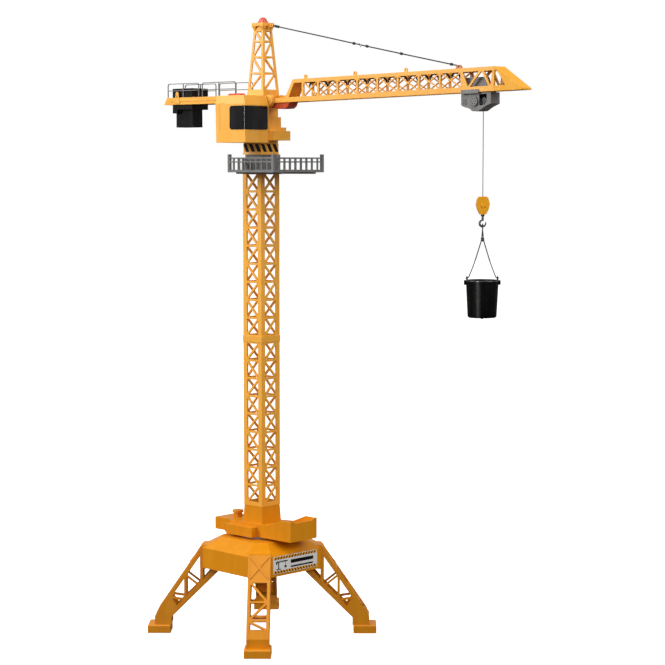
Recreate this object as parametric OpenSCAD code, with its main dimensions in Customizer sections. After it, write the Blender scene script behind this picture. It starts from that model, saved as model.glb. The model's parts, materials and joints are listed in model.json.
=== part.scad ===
// Toy tower crane on a four-legged truss base, with a slewing tower, a fixed jib and
// counter-jib, a trolley that runs along the jib, and a bucket on a hoist line.
// Millimetres, +Z up, +X along the jib. The origin is on the floor, on the slewing axis.

/* [Overall] */
// Turn of the base under the jib in the resting pose, degrees
base_yaw = -2.55; // [-10:0.05:10]
// Wall thickness of the moulded housings
wall = 2.5; // [2:0.1:3]
// Running clearance of shafts in their holes, on the radius
fit = 0.06; // [0.04:0.01:0.1]

/* [Base] */
// Half width of the base body across its flat sides
base_half = 98; // [94:1:102]
// Distance from the axis to each cut corner of the base body
base_corner = 116; // [113:1:118]
// Height of the lower edge of the base skirt
skirt_z = 130; // [126:1:134]
// Height of the upper edge of the base skirt
skirt_top_z = 170; // [166:1:172]
// Height of the flat top of the base
base_top_z = 190; // [188:1:191]
// Width of each leg
leg_w = 43; // [38:1:46]
// Outer reach of each foot pad from the axis
foot_reach = 225; // [220:1:230]

/* [Tower] */
// Width of the square tower
tower_w = 50; // [46:1:52]
// Height of the bottom of the tower
tower_z = 252; // [251:1:253]
// Height of each truss bay in the tower
bay_h = 35; // [34.5:0.1:35.2]
// Number of truss bays in each half of the tower
bays = 9; // [8:1:9]
// Width of the corner posts on each face
post_w = 10; // [8:0.5:11]

/* [Head] */
// Length of the cab along the jib
cab_l = 81; // [76:1:84]
// Width of the cab across the jib
cab_w = 63; // [58:1:66]
// Width of the mast at its foot
mast_w = 44; // [42:1:46]
// Width of the mast at its cap
mast_top_w = 25; // [23:1:27]

/* [Counter-jib] */
// Length of the counter-jib behind the axis
counter_l = 241; // [236:1:246]
// Width of the counter-jib deck
deck_w = 50; // [46:1:52]
// Height of the railings above the deck
rail_h = 28; // [24:1:30]

/* [Jib] */
// Upward tilt of the jib, degrees
jib_tilt = 0.98; // [0.5:0.02:1.4]
// Overall width of the jib
jib_w = 30; // [29:0.5:31]
// Overall height of the jib
jib_h = 42.5; // [41:0.5:44]
// Length of each braced bay
jib_bay = 49.3; // [48.5:0.1:49.6]
// Reach of the jib's tip from the axis
jib_reach = 641; // [630:1:645]

/* [Trolley and load] */
// Distance of the hoist line from the axis in the resting pose
line_x = 548; // [540:1:550]
// Radius at which the line winds on its drum
drum_r = 10; // [9:0.5:10]
// Diameter of the hoist line
cord_d = 1.4; // [1:0.1:1.6]
// Diameter of the sling
sling_d = 2; // [1.6:0.1:2.2]
// Diameter of the stay line
stay_d = 2.5; // [2:0.1:2.8]
// Outer radius of the bucket's rim
bucket_r = 29; // [27:0.5:30]
// Turn of the hook and the bucket about the line, degrees
load_yaw = 45; // [40:1:50]

/* [Hidden] */
$fn = 48;

YELLOW = [0.98, 0.70, 0.12];
ORANGE = [0.95, 0.60, 0.08];
GRAY = [0.55, 0.56, 0.58];
BLACK = [0.09, 0.09, 0.10];
RED = [0.80, 0.20, 0.12];

// Base and legs
base_top_half = 65;
top_corner = 78;
pad_h = 16;
leg_t = 4;
shin_in = [178, 31];
shin_out = [211, 33];
knee = [204, 46.6];
leg_top = [base_corner, skirt_top_z + 4.5];
strut_end = [86, 122];
strut_top = skirt_z - 0.3;
leg_angle = [-45, 45, 135, 225];

// Slewing bearing and gears
ring_teeth = 60;
pinion_teeth = 12;
slew_module = 4 / 3;
post_r = 20;
hub_z = 195;
hub_floor_t = 3;
deck_z = 219;
gear_z = base_top_z + 0.5;
gear_t = 3.8;
pinion_x = slew_module * (ring_teeth + pinion_teeth) / 2;
backlash = 0.3;

// Hub outline
hub_back = -102;
hub_front = 113.4;
hub_half = 36.5;
tail_half = 30;
bulge_half = 51;
bulge_back = -55;
bulge_front = 22;
bulge_top_z = 214;

// Tower levels
band_h = 6;
joint_z = tower_z + band_h + bays * bay_h + 7;
tower_top_z = joint_z + 2 * band_h + bays * bay_h - 3;
gallery_z = 903;
gallery_x = [-21.3, 102];
gallery_half = 69.5;
block_top_z = 937;
collar_top_z = 958;
cab_z = 959.5;
roof_z = 1049;
mast_x = 6.5;
mast_z = 1050;
mast_top_z = 1174;
cap_top_z = 1189;
beacon_top_z = 1200;
core_half = 23.5;
cab_x = -36.6;
cab_y = -core_half - cab_w;

// Counter-jib
deck_bottom_z = 1037;
deck_top_z = 1051;
weight_x = [-228, -171];
weight_half = 21.7;
weight_z = [992, 1069];

// Jib, in its own tilted frame: its underside is at height 0
jib_z = 1034.3;
side_t = 3;
root_x = [80, 101];
root_pin = [40, 5];
first_post = 124;
bay_x = 166;
bay_count = 7;
nose_x = 582;
chord_h = 9;
top_chord_h = 7;
flange_w = 4;
flange_t = 2;
eyelet_x = [121, 247, 371];
stay_x = 494;

// Trolley, in the jib's frame
trolley_x = [508, 574];
trolley_half = 12.5;
trolley_top = -1.2;
trolley_bottom = -33;
wheel_r = 3.9;
wheel_h = flange_t + wheel_r + 0.1;
wheel_x = [520, 566];
drum_h = -16.2;
drum_x = (line_x - drum_r + drum_h * sin(jib_tilt)) / cos(jib_tilt);
drum_teeth = 40;
motor_teeth = 19;
hoist_module = 0.6;
motor_x = drum_x + hoist_module * (drum_teeth + motor_teeth) / 2;

// Hanging load
block_z = [831, 862];
hook_z = 815.3;
hook_r = 5;
hook_wire = 1.7;
ear_z = 719.3;
ear_half = 27;
rim_z = 716;
bucket_z = 650;
bucket_bottom_r = 25;
drum_z = jib_z + drum_x * sin(jib_tilt) + drum_h * cos(jib_tilt);

// Routes of the cords: points chosen along each run
stay_route = [[31.5, 0, 1183.4], [150, 0, 1159.5], [260, 0, 1137], [380, 0, 1113], [494, 0, 1090.5]];
sling_half = [[29.6, 0, 719.3], [26.6, 0, 719.3], [24.4, 0, 720.6], [23, 0, 723], [14.5, 0, 745], [6, 0, 772],
    [1.9, 0.3, 786], [1.1, 1.3, 794], [0.5, 2.4, 802], [0, 3.1, 809], [0, 2.3, 812.8]];

// ---------- Helpers ----------

// Box given by its lowest and highest corners
module block(low, high) {
    translate(low) cube(high - low);
}

// Cylinder along Y
module y_rod(r, y0, y1) {
    translate([0, y1, 0]) rotate([90, 0, 0]) cylinder(r = r, h = y1 - y0);
}

// Outline in X and Z, extruded between two Y values
module xz_slab(y0, y1) {
    translate([0, y1, 0]) rotate([90, 0, 0]) linear_extrude(height = y1 - y0) children();
}

// Outline in Y and Z, extruded between two X values
module yz_slab(x0, x1) {
    translate([x0, 0, 0]) rotate([90, 0, 90]) linear_extrude(height = x1 - x0) children();
}

// The two triangular openings that leave one diagonal bar in a rectangular bay
function bay_openings(x0, x1, z0, z1, rising, d) = rising
    ? [[[x0 + d, z0], [x1, z0], [x1, z1 - d]], [[x0, z0 + d], [x1 - d, z1], [x0, z1]]]
    : [[[x0, z0], [x1 - d, z0], [x0, z1 - d]], [[x1, z0 + d], [x1, z1], [x0 + d, z1]]];

// The four triangular openings that leave two crossed diagonals in a rectangular bay
function cross_openings(x0, x1, z0, z1, d) =
    let (mx = (x0 + x1) / 2, mz = (z0 + z1) / 2, e = d * (z1 - z0) / (x1 - x0))
    [[[x0 + d, z0], [x1 - d, z0], [mx, mz - e]], [[x0 + d, z1], [mx, mz + e], [x1 - d, z1]],
     [[x0, z0 + e], [mx - d, mz], [x0, z1 - e]], [[x1, z0 + e], [x1, z1 - e], [mx + d, mz]]];

// Plate outline with a list of polygonal openings
module pierced(outline, openings) {
    difference() {
        polygon(outline);
        for (opening = openings) polygon(opening);
    }
}

function box_outline(x0, x1, z0, z1) = [[x0, z0], [x1, z0], [x1, z1], [x0, z1]];

// Involute of a circle, degrees
function involute(a) = tan(a) * 180 / PI - a;

// Half width of a gear tooth at radius r, degrees
function tooth_half(teeth, m, r) =
    let (pitch_r = teeth * m / 2, base_r = pitch_r * cos(20))
    90 / teeth - backlash * 90 / PI / pitch_r
        + involute(20) - involute(acos(min(1, base_r / max(r, base_r))));

// Outline of a spur gear with one tooth on +X
module gear_outline(teeth, m) {
    pitch_r = teeth * m / 2;
    root = pitch_r - 1.15 * m;
    radii = [root, max(root + 0.02, pitch_r * cos(20)), pitch_r, pitch_r + 0.45 * m, pitch_r + 0.85 * m];
    polygon([for (i = [0:teeth - 1])
        for (side = [-1, 1])
            for (k = [0:4])
                let (r = radii[side < 0 ? k : 4 - k], a = 360 * i / teeth + side * tooth_half(teeth, m, r))
                r * [cos(a), sin(a)]]);
}

// Smooth route through hand-placed points: Catmull-Rom between points i and i + 1
function route_at(p, i, t) =
    let (n = len(p) - 1, a = p[max(i - 1, 0)], b = p[i], c = p[i + 1], d = p[min(i + 2, n)])
    0.5 * (2 * b + (c - a) * t + (2 * a - 5 * b + 4 * c - d) * t * t + (3 * b - a - 3 * c + d) * t * t * t);

function smooth(p, steps) = concat(
    [for (i = [0:len(p) - 2]) for (k = [0:steps - 1]) route_at(p, i, k / steps)], [p[len(p) - 1]]);

function unit(v) = v / norm(v);

// Tube of radius r swept along a route that never runs along the guide direction
module tube(p, r, guide, sides = 8) {
    n = len(p) - 1;
    rings = [for (i = [0:n])
        let (along = unit(p[min(i + 1, n)] - p[max(i - 1, 0)]), up = unit(cross(guide, along)),
            across = cross(along, up))
        for (k = [0:sides - 1]) p[i] + r * (across * cos(360 * k / sides) + up * sin(360 * k / sides))];
    skin = [for (i = [0:n - 1])
        for (k = [0:sides - 1])
            let (a = i * sides + k, b = i * sides + (k + 1) % sides) [a, b, b + sides, a + sides]];
    polyhedron(points = rings, faces = concat([[for (k = [sides - 1:-1:0]) k]], skin,
        [[for (k = [0:sides - 1]) n * sides + k]]));
}

// Places its children in the jib's tilted frame
module on_jib() {
    translate([0, 0, jib_z]) rotate([0, -jib_tilt, 0]) children();
}

// Places its children at the hoist line, turned with the load
module on_load() {
    translate([line_x, 0, 0]) rotate([0, 0, load_yaw]) children();
}

// Screw with a round head and a crossed slot, head up, standing on height 0
module screw(head_r, length) {
    difference() {
        union() {
            cylinder(r = head_r, h = 1.6);
            translate([0, 0, -length]) cylinder(r = head_r * 0.5, h = length + 0.5);
        }
        slot = head_r * 0.6;
        for (a = [0, 90]) rotate([0, 0, a]) block([-slot, -0.4, 0.8], [slot, 0.4, 1.8]);
    }
}

// ---------- Base ----------

// Eight-sided house with a skirt and a sloping top, shrunk by inset
module base_shape(inset, low) {
    roof = base_top_z - inset;
    eaves = skirt_top_z - inset * 0.4;
    intersection_for (a = [0, 45, 90, 135]) {
        foot = (a % 90 == 0 ? base_half : base_corner) - inset;
        top = (a % 90 == 0 ? base_top_half : top_corner) - inset;
        rotate([0, 0, a]) xz_slab(-base_corner - 30, base_corner + 30)
            polygon([[-foot, low], [foot, low], [foot, eaves], [top, roof], [-top, roof], [-foot, eaves]]);
    }
}

screw_spots = [for (a = [0, 90, 180, 270]) 80 * [cos(a), sin(a)]];

module base_body() color(YELLOW) rotate([0, 0, base_yaw]) {
    shoulder = [[60, skirt_top_z - 5], [base_corner, skirt_top_z - 5], leg_top,
        [98, leg_top[1] + 1], [70, base_top_z], [60, base_top_z]];
    difference() {
        union() {
            difference() {
                base_shape(0, skirt_z);
                base_shape(wall, skirt_z - 1);
            }
            intersection() {
                base_shape(0, skirt_z);
                for (p = screw_spots) translate([p[0], p[1], skirt_z + 5]) cylinder(r = 4, h = 60);
            }
            for (a = [45:90:315]) rotate([0, 0, a]) xz_slab(-leg_w / 2, leg_w / 2) polygon(shoulder);
        }
        translate([0, 0, skirt_z]) cylinder(r = 13, h = 70);
        for (p = screw_spots) translate([p[0], p[1], skirt_z + 4]) cylinder(r = 1.55, h = 20);
    }
}

module base_floor() color(YELLOW) rotate([0, 0, base_yaw]) difference() {
    intersection() {
        base_shape(wall + 0.15, skirt_z);
        block([-150, -150, skirt_z + 2], [150, 150, skirt_z + 5]);
    }
    for (p = screw_spots) translate([p[0], p[1], skirt_z]) cylinder(r = 1.9, h = 10);
    for (i = [-3:3]) block([i * 12 - 2, -30, skirt_z], [i * 12 + 2, 30, skirt_z + 8]);
}

module base_screws() color(GRAY) rotate([0, 0, base_yaw])
    for (p = screw_spots) translate([p[0], p[1], skirt_z + 2]) rotate([180, 0, 0]) screw(3, 14);

module sign_plate() color("white") rotate([0, 0, base_yaw])
    block([base_half, -62, skirt_z + 5], [base_half + 0.8, 55, skirt_top_z - 1]);

// Side truss of a leg, radius across and height up
module leg_side() {
    ankle = [[shin_in[0], pad_h], [shin_out[0], pad_h], shin_out];
    head = [knee, leg_top, [base_corner, strut_top], [strut_end[0], strut_top], strut_end, shin_in];
    difference() {
        polygon(concat(ankle, head));
        difference() {
            polygon([[121.5, 99], [121.5, 152], [178, 70.5], [167, 54]]);
            polygon([[148.2, 60], [153, 60], [153, 120], [148.2, 120]]);
            polygon([[118, 87.8], [118, 92.8], [152, 119.5], [152, 114.5]]);
            polygon([[152, 64], [152, 68.5], [182, 73], [182, 68.5]]);
        }
        polygon([[base_corner - 1, 106], [base_corner - 1, strut_top - 2], [97, strut_top - 2]]);
    }
}

// Places its children in the plane of a leg's edge, with +X from one end to the other
module along_edge(from, to) {
    translate([from[0], 0, from[1]]) rotate([0, -atan2(to[1] - from[1], to[0] - from[0]), 0]) children();
}

// Ladder plate between the side trusses, with its outer face at the given depth
module leg_ladder(run, depth, cells, braced) {
    half = leg_w / 2 - 1;
    open = half - 5;
    translate([0, 0, depth]) linear_extrude(height = leg_t) difference() {
        polygon(box_outline(0.5, run, -half, half));
        for (i = [0:len(cells) - 1]) {
            low = cells[i][0];
            high = cells[i][1];
            if (braced)
                for (o = bay_openings(low, high, -open, open, i % 2 == 1, 3)) polygon(o);
            else
                polygon(box_outline(low, high, -open, open));
        }
    }
}

module leg_solid() {
    half = leg_w / 2;
    inset = 0.4;
    for (y0 = [-half, half - leg_t]) xz_slab(y0, y0 + leg_t) leg_side();
    along_edge(knee, leg_top) {
        run = norm(leg_top - knee);
        leg_ladder(run, inset, [[3, 20], [25, 57], [61, 98]], true);
        // Raised cross on the solid panel at the top of the front face
        for (s = [-1, 1]) translate([(103 + run) / 2, 0, -0.2]) rotate([0, 0, s * 38])
            cube([58, 3.5, 1.8], center = true);
    }
    along_edge(shin_in, strut_end)
        leg_ladder(norm(strut_end - shin_in), -leg_t - inset, [[12, 38], [44, 74], [80, 118]], false);
    difference() {
        xz_slab(1 - half, half - 1) polygon([[shin_in[0] + inset, pad_h], [shin_out[0] - inset, pad_h],
            shin_out - [inset, 0], knee - [inset, 0], knee - [6, 0], shin_in + [6, 6], shin_in + [inset, 0]]);
        block([shin_in[0] + 4, 5 - half, pad_h - 1], [shin_out[0] - 5, half - 5, shin_in[1] - 3]);
    }
}

// The leg ends flat against the base's cut corner
module leg_frame() difference() {
    leg_solid();
    block([60, -leg_w, strut_top], [base_corner, leg_w, base_top_z]);
}

module leg(i) color(YELLOW) rotate([0, 0, base_yaw + leg_angle[i]]) leg_frame();

module foot_pad(i) color(YELLOW) rotate([0, 0, base_yaw + leg_angle[i]]) {
    half = leg_w / 2 + 4;
    lip = 2;
    reach = foot_reach;
    intersection() {
        xz_slab(-half, half)
            polygon([[180, 0], [reach, 0], [reach, pad_h - lip], [reach - lip, pad_h], [180, pad_h]]);
        yz_slab(170, reach + 10) polygon([[-half, 0], [half, 0], [half, pad_h - lip], [half - lip, pad_h],
            [lip - half, pad_h], [-half, pad_h - lip]]);
    }
}

module leg_front() leg(0);
module leg_right() leg(1);
module leg_back() leg(2);
module leg_left() leg(3);
module foot_pad_front() foot_pad(0);
module foot_pad_right() foot_pad(1);
module foot_pad_back() foot_pad(2);
module foot_pad_left() foot_pad(3);

// ---------- Slewing bearing ----------

module slew_ring_gear() color(GRAY) translate([0, 0, base_top_z]) difference() {
    union() {
        cylinder(r = 37, h = gear_z - base_top_z);
        translate([0, 0, gear_z - base_top_z]) linear_extrude(height = gear_t)
            gear_outline(ring_teeth, slew_module);
    }
    translate([0, 0, -1]) cylinder(r = 31, h = 10);
}

module slew_post() color(GRAY) difference() {
    union() {
        translate([0, 0, base_top_z]) cylinder(r = 30.5, h = hub_z - base_top_z - 0.1);
        translate([0, 0, skirt_z + 20]) cylinder(r = 12.9, h = 50);
        translate([0, 0, base_top_z]) cylinder(r = post_r, h = 16);
    }
    translate([0, 0, skirt_z]) cylinder(r = 9, h = 90);
}

module slew_retainer() color(GRAY) translate([0, 0, hub_z + hub_floor_t + 0.3]) difference() {
    cylinder(r = post_r + 7, h = 4);
    translate([0, 0, -1]) cylinder(r = post_r + 0.02, h = 10);
}

// ---------- Hub ----------

module hub_plan() polygon([[hub_back, -tail_half], [bulge_back, -tail_half], [bulge_back, -hub_half],
    [hub_front, -hub_half], [hub_front, hub_half], [bulge_back, hub_half], [bulge_back, tail_half],
    [hub_back, tail_half]]);

module hub_inner_plan() polygon([[hub_back + wall, wall - tail_half], [bulge_back + wall, wall - tail_half],
    [bulge_back + wall, wall - hub_half], [hub_front - wall, wall - hub_half],
    [hub_front - wall, hub_half - wall], [bulge_back + wall, hub_half - wall],
    [bulge_back + wall, tail_half - wall], [hub_back + wall, tail_half - wall]]);

hub_spots = [for (x = [hub_back + 10, hub_front - 13]) for (s = [-1, 1])
    [x, s * ((x < 0 ? tail_half : hub_half) - 9.5)]];

module hub_housing() color(YELLOW) {
    bulge = [[bulge_back + 7, hub_z], [bulge_front, hub_z], [bulge_front, bulge_top_z],
        [bulge_back, bulge_top_z], [bulge_back, hub_z + 6]];
    bulwark = [[bulge_front, deck_z - 2], [hub_front, deck_z - 2], [hub_front, 234], [85, 234.5], [52, 221],
        [bulge_front, deck_z]];
    rim = [[-hub_half, deck_z - 2], [hub_half, deck_z - 2], [hub_half, 235], [hub_half - 7, 235],
        [hub_half - 14, 231], [14 - hub_half, 231], [7 - hub_half, 235], [-hub_half, 235]];
    difference() {
        union() {
            translate([0, 0, hub_z]) linear_extrude(height = deck_z - hub_z) hub_plan();
            xz_slab(-bulge_half, bulge_half) polygon(bulge);
            for (s = [-1, 1]) {
                edge = s * (hub_half - 1.5);
                xz_slab(edge - 1.5, edge + 1.5) polygon(bulwark);
            }
            yz_slab(hub_front - 3, hub_front) polygon(rim);
            intersection_for (a = [0, 90]) rotate([0, 0, a]) xz_slab(-40, 40)
                polygon([[-26.5, deck_z - 1], [26.5, deck_z - 1], [24.5, tower_z], [-24.5, tower_z]]);
        }
        translate([0, 0, hub_z - 1]) linear_extrude(height = deck_z - hub_z - wall + 1) hub_inner_plan();
        block([bulge_back + 10, wall - bulge_half, hub_z - 1],
            [bulge_front - wall, bulge_half - wall, bulge_top_z - wall]);
        block([-21, -21, deck_z - 5], [21, 21, tower_z + 1]);
    }
    for (p = hub_spots) translate([p[0], p[1], hub_z + hub_floor_t]) difference() {
        cylinder(r = 4, h = deck_z - hub_z - hub_floor_t - wall);
        translate([0, 0, -1]) cylinder(r = 1.55, h = 15);
    }
}

module hub_floor() color(YELLOW) difference() {
    union() {
        translate([0, 0, hub_z]) linear_extrude(height = hub_floor_t) hub_inner_plan();
        block([bulge_back + 10, wall - bulge_half, hub_z],
            [bulge_front - wall, bulge_half - wall, hub_z + hub_floor_t]);
    }
    translate([0, 0, hub_z - 1]) cylinder(r = post_r + fit, h = 10);
    translate([pinion_x, 0, hub_z - 1]) cylinder(r = 2 + fit, h = 10);
    for (p = hub_spots) translate([p[0], p[1], hub_z - 1]) cylinder(r = 1.9, h = 10);
}

module hub_screws() color(GRAY)
    for (p = hub_spots) translate([p[0], p[1], hub_z]) rotate([180, 0, 0]) screw(3, 12);

module deck_knob() color(YELLOW) translate([-68, 0, deck_z]) {
    cylinder(r = 8.5, h = 9.5);
    translate([0, 0, 9.5]) cylinder(r = 11, h = 4.5);
}

module slew_motor() color(GRAY) translate([pinion_x, 0, hub_z + hub_floor_t + 0.2]) difference() {
    intersection() {
        cylinder(r = 11, h = 17.5);
        block([-12, -8.5, 0], [12, 8.5, 18]);
    }
    translate([0, 0, -1]) cylinder(r = 2 + fit, h = 9);
}

module slew_pinion() color(GRAY) translate([pinion_x, 0, gear_z]) {
    rotate([0, 0, 180 / pinion_teeth]) linear_extrude(height = gear_t)
        gear_outline(pinion_teeth, slew_module);
    translate([0, 0, gear_t - 0.5]) cylinder(r = 2, h = hub_z + hub_floor_t + 7 - gear_z - gear_t);
}

// ---------- Tower ----------

// One face of a tower section, width across and height up
module tower_face(w, bottom, first, reverse, top) {
    half = tower_w / 2 - post_w;
    bar = 2;
    openings = [for (i = [0:bays - 1])
        for (o = bay_openings(-half, half, first + i * bay_h + bar, first + (i + 1) * bay_h - bar,
            (i % 2 == 0) != reverse, 3)) o];
    pierced(box_outline(-w / 2, w / 2, bottom, top), openings);
}

module tower_section(bottom, first, top) {
    t = wall + 0.5;
    half = tower_w / 2;
    xz_slab(-half, t - half) tower_face(tower_w, bottom, first, false, top);
    xz_slab(half - t, half) tower_face(tower_w, bottom, first, true, top);
    yz_slab(-half, t - half) tower_face(tower_w - 2 * t, bottom, first, true, top);
    yz_slab(half - t, half) tower_face(tower_w - 2 * t, bottom, first, false, top);
}

// Solid frame around the tower, standing proud of its faces
module tower_band(z0, z1, proud) {
    half = tower_w / 2;
    difference() {
        block([-half - proud, -half - proud, z0], [half + proud, half + proud, z1]);
        block([3 - half, 3 - half, z0 - 1], [half - 3, half - 3, z1 + 1]);
    }
}

module tower_lower() color(YELLOW) {
    tower_section(tower_z, tower_z + band_h, joint_z);
    tower_band(joint_z - 6, joint_z, 0.8);
}

module tower_upper() color(YELLOW) {
    tower_section(joint_z, joint_z + band_h, tower_top_z);
    tower_band(joint_z, joint_z + 6, 0.8);
}

// ---------- Gallery and collar ----------

module gallery_floor() color(GRAY) {
    half = tower_w / 2 + 0.2;
    difference() {
        block([gallery_x[0], -gallery_half, gallery_z], [gallery_x[1], gallery_half, gallery_z + 3]);
        block([gallery_x[0] - 1, -half, gallery_z - 1], [half, half, gallery_z + 5]);
    }
    for (s = [-1, 1]) block([gallery_x[0], s * 45 - 2, gallery_z - 3], [gallery_x[1], s * 45 + 2, gallery_z]);
}

// Railing panel between two ends, distance across and height up
module rail_panel(a, b) {
    low = gallery_z + 3;
    top = low + 25.5;
    mid = low + 17;
    bar = 1.2;
    count = max(2, round((b - a) / 14.5));
    step = (b - a) / count;
    openings = [for (i = [0:count - 1])
        for (row = [[low + 2, mid - bar], [mid + bar, top - 2.6]])
            box_outline(a + i * step + bar, a + (i + 1) * step - bar, row[0], row[1])];
    pierced(box_outline(a, b, low, top), openings);
}

module gallery_railing() color(GRAY) {
    x0 = gallery_x[0];
    x1 = gallery_x[1];
    t = 2.2;
    post = 5.5;
    for (s = [-1, 1]) {
        edge = s * (gallery_half - t / 2);
        xz_slab(edge - t / 2, edge + t / 2) rail_panel(x0 + 2, x1 - 2);
        for (x = [x0, x1 - post]) {
            corner = s > 0 ? gallery_half - post : -gallery_half;
            block([x, corner, gallery_z + 3], [x + post, corner + post, gallery_z + 34.5]);
        }
        yz_slab(x0, x0 + t) rail_panel(s > 0 ? 29 : 2 - gallery_half, s > 0 ? gallery_half - 2 : -29);
    }
    yz_slab(x1 - t, x1) rail_panel(2 - gallery_half, gallery_half - 2);
}

module bearing_block() color(GRAY) {
    half = tower_w / 2;
    difference() {
        union() {
            block([-half, -half, tower_top_z], [half, half, 930]);
            block([-half - 1.5, -half - 1.5, gallery_z + 3], [half + 1.5, half + 1.5, 930]);
            block([-21.5, -21.5, 929], [21.5, 21.5, block_top_z]);
            for (x = [-18:9:18])
                block([x - 1.5, -half - 3, gallery_z + 3], [x + 1.5, half + 3, 928]);
        }
        block([-17, -17, tower_top_z - 1], [17, 17, block_top_z + 1]);
    }
}

module hazard_collar() color(YELLOW) difference() {
    intersection_for (a = [0, 90]) rotate([0, 0, a]) xz_slab(-40, 40)
        polygon([[-25.3, block_top_z], [25.3, block_top_z], [24, block_top_z + 5], [24, collar_top_z],
            [-24, collar_top_z], [-24, block_top_z + 5]]);
    block([-17, -17, block_top_z - 1], [17, 17, collar_top_z + 1]);
}

module collar_stripes() color(BLACK) for (a = [0:90:270]) rotate([0, 0, a])
    for (i = [-1:1]) {
        x = i * 16;
        low = block_top_z + 5.5;
        xz_slab(-24.5, -24) intersection() {
            polygon([[x - 8.6, collar_top_z - 0.5], [x, collar_top_z - 0.5], [x + 8, low], [x - 0.6, low]]);
            polygon(box_outline(-23.8, 23.8, block_top_z, collar_top_z));
        }
    }

// ---------- Machine house and cab ----------

// Underside of the ledge that carries the mast's front wall
ledge_z = 1044;

module machine_house() color(YELLOW) difference() {
    union() {
        block([-core_half - 0.5, -core_half, collar_top_z], [core_half, core_half, mast_z]);
        block([core_half - 1, -core_half, ledge_z], [mast_x + mast_w / 2 + 0.5, core_half, mast_z]);
    }
    inner = core_half - wall;
    block([-inner, -inner, collar_top_z + 3], [inner, inner, mast_z - 3]);
    for (i = [0:4]) block([-12, core_half - 1, 980 + i * 9], [12, core_half + 1, 984 + i * 9]);
}

module front_steps() color(YELLOW) difference() {
    xz_slab(-core_half + 0.5, core_half - 0.5) polygon([[core_half, 964], [57, 964], [57, 982], [46, 982],
        [46, 989], [32, 989], [32, 1009], [core_half, 1009]]);
    xz_slab(3 - core_half, core_half - 3) polygon([[core_half - 1, 967], [54, 967], [54, 979], [43, 979],
        [43, 986], [29, 986], [29, 1006], [core_half - 1, 1006]]);
}

cab_front = cab_x + cab_l;
window_z = [984, 1029];

// Cab shrunk by inset: its front and its outer side lean back above the window
module cab_shape(inset) {
    low = cab_z + inset;
    high = roof_z - inset;
    back = cab_x + inset;
    front = cab_front - inset;
    side = cab_y + inset;
    intersection() {
        xz_slab(side, -core_half - inset)
            polygon([[back + 2, low], [front, low], [front, 1031], [front - 7, high], [back, high]]);
        yz_slab(cab_x, cab_front)
            polygon([[side, low], [0, low], [0, high], [side + 4, high], [side, 1033]]);
    }
}

// Wrap-around window, grown outwards by out and inwards by depth
module window_shape(out, depth) {
    z0 = window_z[0];
    z1 = window_z[1];
    intersection() {
        difference() {
            block([cab_x + 38, cab_y - out, z0], [cab_front + out, -core_half - 2, z1]);
            block([cab_x + 30, cab_y + depth, z0 - 1], [cab_front - depth, 0, z1 + 1]);
        }
        xz_slab(cab_y - 10, 0) polygon([[cab_x + 43, z0], [cab_front + 5, z0], [cab_front + 5, z1],
            [cab_x + 42, z1], [cab_x + 39, z1 - 5], [cab_x + 40, z0 + 10]]);
        yz_slab(cab_x, cab_front + 5) polygon([[cab_y - 5, z0], [-33, z0], [-28.5, z0 + 4], [-26, z0 + 14],
            [-26.5, z1 - 4], [-30, z1], [cab_y - 5, z1]]);
    }
}

module cab_body() color(YELLOW) difference() {
    cab_shape(0);
    cab_shape(wall);
    window_shape(1, 1.2);
    block([cab_x + 12, cab_y - 1, cab_z + 20], [cab_x + 26, cab_y + 0.6, roof_z - 14]);
}

module cab_window() color(BLACK) window_shape(0.8, 1.2);

module roof_lamp() color(RED) {
    block([-9, cab_y + 8, roof_z], [24, cab_y + 20, roof_z + 3.5]);
}

// Two cheeks that hold the jib's root pin
module jib_bracket() color(YELLOW) for (s = [-1, 1]) {
    low = s > 0 ? jib_w / 2 + 0.2 : -jib_w / 2 - 2.8;
    difference() {
        xz_slab(low, low + 2.6) union() {
            polygon([[core_half, 1032], [root_pin[0], 1027], [52, 1040], [52, mast_z], [31, mast_z],
                [31, ledge_z], [core_half, ledge_z]]);
            translate([root_pin[0], 1039]) circle(r = 12);
        }
        on_jib() translate([root_pin[0], 0, root_pin[1]]) y_rod(2.55, -30, 30);
    }
}

// Red clip under the jib's root, with the root pin through it
module root_clip() color(RED) on_jib() {
    xz_slab(-12, 12) polygon([[root_pin[0] - 7, -8], [56, -11.5], [77, -11.5], [85, -7], [88, 0],
        [root_pin[0] - 7, 0]]);
    block([root_pin[0] - 7, -11.5, -1], [root_pin[0] + 7, 11.5, root_pin[1] + 5]);
    translate([root_pin[0], 0, root_pin[1]]) y_rod(2.5, -jib_w / 2 - 4, jib_w / 2 + 4);
}

// ---------- Mast ----------

mast_lean = atan((mast_w - mast_top_w) / 2 / (mast_top_z - mast_z));
mast_run = (mast_top_z - mast_z) / cos(mast_lean);
mast_levels = [10, 43, 74, 104, mast_run];

function mast_half(z) = mast_w / 2 + (mast_top_w - mast_w) / 2 * z / mast_run;

// One face of the mast in its own plane, width across and height up, narrower by trim on each side
module mast_face(trim) {
    post = 5;
    bar = 1.6;
    over = 1;
    low = mast_half(-over) - trim;
    high = mast_half(mast_run + over) - trim;
    pierced([[-low, -over], [low, -over], [high, mast_run + over], [-high, mast_run + over]],
        [for (i = [0:3])
            let (z0 = mast_levels[i] + bar, z1 = mast_levels[i + 1] - bar,
                a = mast_half(z0) - post, b = mast_half(z1) - post, d = 2.4)
            for (o = i % 2 == 0
                ? [[[-a + d, z0], [a, z0], [b, z1 - d]], [[-a, z0 + d], [b - d, z1], [-b, z1]]]
                : [[[-a, z0], [a - d, z0], [-b, z1 - d]], [[a, z0 + d], [b, z1], [d - b, z1]]]) o]);
}

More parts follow.
